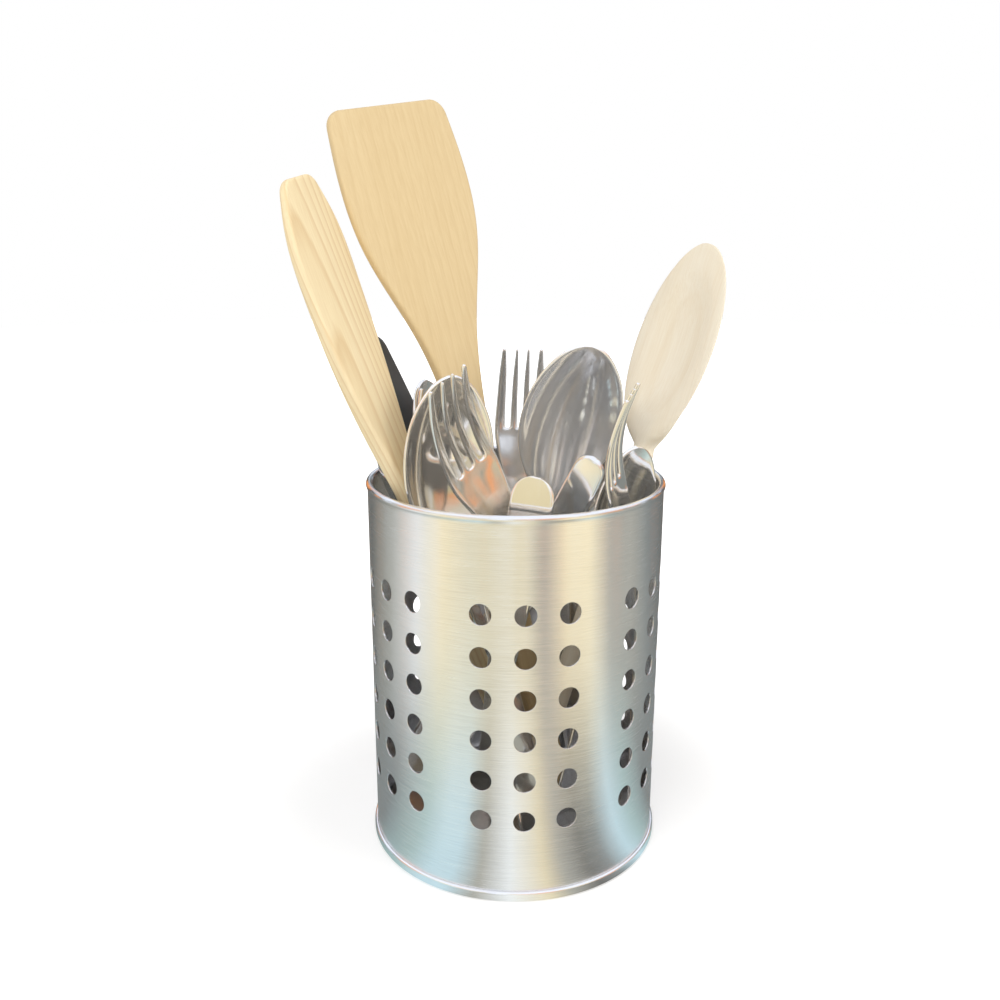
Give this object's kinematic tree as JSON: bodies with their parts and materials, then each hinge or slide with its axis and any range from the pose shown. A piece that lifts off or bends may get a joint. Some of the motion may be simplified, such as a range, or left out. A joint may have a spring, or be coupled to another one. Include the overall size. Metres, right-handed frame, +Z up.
{
  "type": "cutlery holder",
  "caption": "Perforated steel cylinder that holds table cutlery and wooden kitchen tools upright, with each piece free to lift out.",
  "frame": {"origin": "centre of the holder's underside, where its base seam stands on the worktop", "axes": "+Z up along the holder's axis, -Y towards the front, where the middle column of a group of holes faces, +X to the right"},
  "size_m": [0.1701, 0.1226, 0.3022],
  "materials": {
    "sleeve_steel": "brushed round the cylinder",
    "pan_steel": "bright, lightly brushed",
    "fork_steel": "polished stainless steel",
    "spoon_steel": "polished stainless steel",
    "blade_steel": "polished stainless steel",
    "handle_plastic": "satin, dark grey",
    "turner_wood": "bare, fine grain along its length",
    "paddle_wood": "bare, light, with growth rings",
    "spoon_wood": "bare, pale, slightly worn"
  },
  "bodies": {
    "holder": {"perforated_sleeve": "sleeve_steel", "base_pan": "pan_steel"},
    "wooden_turner": {"wooden_turner": "turner_wood"},
    "wooden_paddle": {"wooden_paddle": "paddle_wood"},
    "wooden_spoon": {"wooden_spoon": "spoon_wood"},
    "side_spoon": {"side_spoon": "spoon_steel"},
    "slim_spoon": {"slim_spoon": "spoon_steel"},
    "left_spoon": {"left_spoon": "spoon_steel"},
    "back_spoon": {"back_spoon": "spoon_steel"},
    "big_spoon": {"big_spoon": "spoon_steel"},
    "low_right_spoon": {"low_right_spoon": "spoon_steel"},
    "low_handle_spoon": {"low_handle_spoon": "spoon_steel"},
    "slim_fork": {"slim_fork": "fork_steel"},
    "left_fork": {"left_fork": "fork_steel"},
    "back_fork": {"back_fork": "fork_steel"},
    "leaning_fork": {"leaning_fork": "fork_steel"},
    "right_fork": {"right_fork": "fork_steel"},
    "table_knife": {"knife_blade": "blade_steel", "knife_handle": "handle_plastic"},
    "small_knife": {"small_knife": "blade_steel"}
  },
  "joints": [
    {"name": "wooden_turner_lift", "type": "slide", "parent": "holder", "child": "wooden_turner", "axis": [-0.224, 0.0335, 0.974], "range_m": [0, 0.159]},
    {"name": "wooden_paddle_lift", "type": "slide", "parent": "holder", "child": "wooden_paddle", "axis": [-0.3424, -0.0428, 0.9386], "range_m": [0, 0.165]},
    {"name": "wooden_spoon_lift", "type": "slide", "parent": "holder", "child": "wooden_spoon", "axis": [0.344, 0.2618, 0.9017], "range_m": [0, 0.171]},
    {"name": "side_spoon_lift", "type": "slide", "parent": "holder", "child": "side_spoon", "axis": [-0.4178, -0.0887, 0.9042], "range_m": [0, 0.171]},
    {"name": "slim_spoon_lift", "type": "slide", "parent": "holder", "child": "slim_spoon", "axis": [-0.3377, 0.0788, 0.938], "range_m": [0, 0.165]},
    {"name": "left_spoon_lift", "type": "slide", "parent": "holder", "child": "left_spoon", "axis": [0, 0.1028, 0.9947], "range_m": [0, 0.155]},
    {"name": "back_spoon_lift", "type": "slide", "parent": "holder", "child": "back_spoon", "axis": [-0.0868, -0.0938, 0.9918], "range_m": [0, 0.156]},
    {"name": "big_spoon_lift", "type": "slide", "parent": "holder", "child": "big_spoon", "axis": [0.1457, -0.2242, 0.9636], "range_m": [0, 0.16]},
    {"name": "low_right_spoon_lift", "type": "slide", "parent": "holder", "child": "low_right_spoon", "axis": [0.1466, 0.1257, 0.9812], "range_m": [0, 0.157]},
    {"name": "low_handle_spoon_lift", "type": "slide", "parent": "holder", "child": "low_handle_spoon", "axis": [0.0081, -0.0011, 1], "range_m": [0, 0.155]},
    {"name": "slim_fork_lift", "type": "slide", "parent": "holder", "child": "slim_fork", "axis": [-0.2298, 0.3174, 0.92], "range_m": [0, 0.012]},
    {"name": "left_fork_lift", "type": "slide", "parent": "holder", "child": "left_fork", "axis": [-0.3142, -0.2126, 0.9252], "range_m": [0, 0.167]},
    {"name": "back_fork_lift", "type": "slide", "parent": "holder", "child": "back_fork", "axis": [0.0209, -0.0174, 0.9996], "range_m": [0, 0.155]},
    {"name": "leaning_fork_lift", "type": "slide", "parent": "holder", "child": "leaning_fork", "axis": [0.4067, 0.0159, 0.9134], "range_m": [0, 0.169]},
    {"name": "right_fork_lift", "type": "slide", "parent": "holder", "child": "right_fork", "axis": [-0.1001, -0.1924, 0.9762], "range_m": [0, 0.158]},
    {"name": "table_knife_lift", "type": "slide", "parent": "holder", "child": "table_knife", "axis": [-0.4034, -0.0925, 0.9103], "range_m": [0, 0.17]},
    {"name": "small_knife_lift", "type": "slide", "parent": "holder", "child": "small_knife", "axis": [0.296, -0.4262, 0.8548], "range_m": [0, 0.181]}
  ]
}
